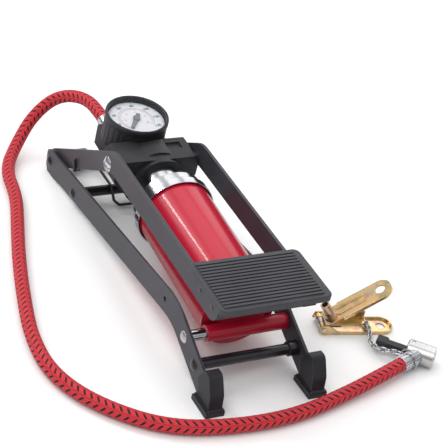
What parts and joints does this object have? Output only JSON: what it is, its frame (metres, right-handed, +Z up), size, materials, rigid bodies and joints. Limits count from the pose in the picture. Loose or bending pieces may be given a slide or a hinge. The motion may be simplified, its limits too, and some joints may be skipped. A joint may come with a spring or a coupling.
{
  "type": "foot pump",
  "caption": "Single-barrel foot pump for tyres with a hinged pedal lever, pressure gauge, braided hose, thumb-lock chuck and an adapter clip on a chain.",
  "frame": {"origin": "middle of the pump's base on the floor, its hose left out", "axes": "+Z up; +Y from the foot shoes to the rear pivot and the gauge; +X to the pump's right, seen from behind the shoes looking along +Y"},
  "size_m": [0.2743, 0.3666, 0.0858],
  "materials": {
    "charcoal_steel": "satin",
    "black_steel": "satin",
    "zinc_steel": "polished",
    "spring_steel": "satin",
    "red_enamel": "gloss",
    "red_cast": "gloss",
    "black_plastic": "satin",
    "black_rubber": "matte",
    "painted_tube": "gloss",
    "white_enamel": "matte",
    "grey_metal": "satin",
    "clear_plastic": "gloss",
    "brass": "satin",
    "crimped_steel": "satin",
    "nickel": "satin",
    "yellow_zinc": "gloss",
    "red_braid": "matte"
  },
  "bodies": {
    "base": {"left_side_rail": "charcoal_steel", "right_side_rail": "charcoal_steel", "rear_cross_bar": "black_steel", "front_cross_rod": "black_steel", "left_foot_shoe": "black_plastic", "right_foot_shoe": "black_plastic", "lever_pivot_rod": "black_steel", "barrel_axle": "zinc_steel", "return_spring": "black_steel", "hose": "red_braid", "hose_ferrule": "zinc_steel", "chuck_body": "nickel", "chuck_cap": "nickel", "chuck_seal": "black_rubber", "chuck_valve_pin": "spring_steel", "chuck_lever_pin": "crimped_steel", "chain_links": "zinc_steel", "chain_ring": "zinc_steel", "clip_lower_arm": "yellow_zinc", "clip_hinge_pin": "crimped_steel", "clip_spring": "spring_steel"},
    "lever": {"left_lever_plate": "charcoal_steel", "right_lever_plate": "charcoal_steel", "lever_pivot_bushes": "black_plastic", "head_pivot_screws": "zinc_steel", "pedal_cross_web": "charcoal_steel", "pedal_pad": "black_plastic", "pedal_pad_screws": "spring_steel", "pedal_catch": "black_plastic", "web_rivets": "black_steel", "return_spring_hooks": "black_steel"},
    "barrel": {"barrel_tube": "red_enamel", "barrel_end_cap": "red_cast", "barrel_cross_tube": "painted_tube", "barrel_collar": "zinc_steel", "collar_gasket": "black_rubber", "guide_bush": "black_plastic"},
    "head": {"head_block": "black_plastic", "tube_flange": "black_plastic", "hose_barb": "brass", "hose_crimp_sleeve": "crimped_steel", "hose_upper": "red_braid", "inner_tube": "zinc_steel", "piston": "black_plastic", "piston_cup_seal": "black_rubber", "seal_washer": "spring_steel", "check_valve_ball": "spring_steel", "check_valve_spring": "spring_steel", "check_valve_cage": "spring_steel", "gauge_housing": "black_plastic", "gauge_lens": "clear_plastic", "gauge_dial": "white_enamel", "gauge_movement": "black_plastic", "gauge_stem": "brass"},
    "gauge_hand": {"gauge_pointer": "grey_metal"},
    "chuck_lever": {"chuck_thumb_lever": "black_plastic"},
    "clip_top": {"clip_upper_arm": "yellow_zinc", "clip_nozzle": "brass"}
  },
  "joints": [
    {"name": "lever_pivot", "type": "hinge", "parent": "base", "child": "lever", "pos_m": [0, 0.1475, 0.01], "axis": [-1, 0, 0], "range_deg": [0, 56.3]},
    {"name": "barrel_pivot", "type": "hinge", "parent": "base", "child": "barrel", "pos_m": [0.0025, -0.1004, 0.0243], "axis": [1, 0, 0], "range_deg": [0, 10.13]},
    {"name": "tube_slide", "type": "slide", "parent": "barrel", "child": "head", "axis": [0, 0.9946, 0.1036], "range_m": [0, 0.0985]},
    {"name": "gauge_hand_pivot", "type": "hinge", "parent": "head", "child": "gauge_hand", "pos_m": [-0.0008, 0.08812, 0.07751], "axis": [0, 0.1036, -0.9946], "range_deg": [0, 270], "stiffness_Nm_per_rad": 0.0001},
    {"name": "chuck_lever_pivot", "type": "hinge", "parent": "base", "child": "chuck_lever", "pos_m": [0.1253, -0.13409, 0.0078], "axis": [0, 0, -1], "range_deg": [0, 80]},
    {"name": "clip_pivot", "type": "hinge", "parent": "base", "child": "clip_top", "pos_m": [0.07889, -0.08561, 0.0046], "axis": [0.225, 0.9744, 0], "range_deg": [0, 18], "stiffness_Nm_per_rad": 0.3}
  ],
  "couplings": [
    {"joint": "barrel_pivot", "follows": "lever_pivot", "ratio": 0.17896},
    {"joint": "tube_slide", "follows": "lever_pivot", "m_per_rad": 0.10011}
  ]
}
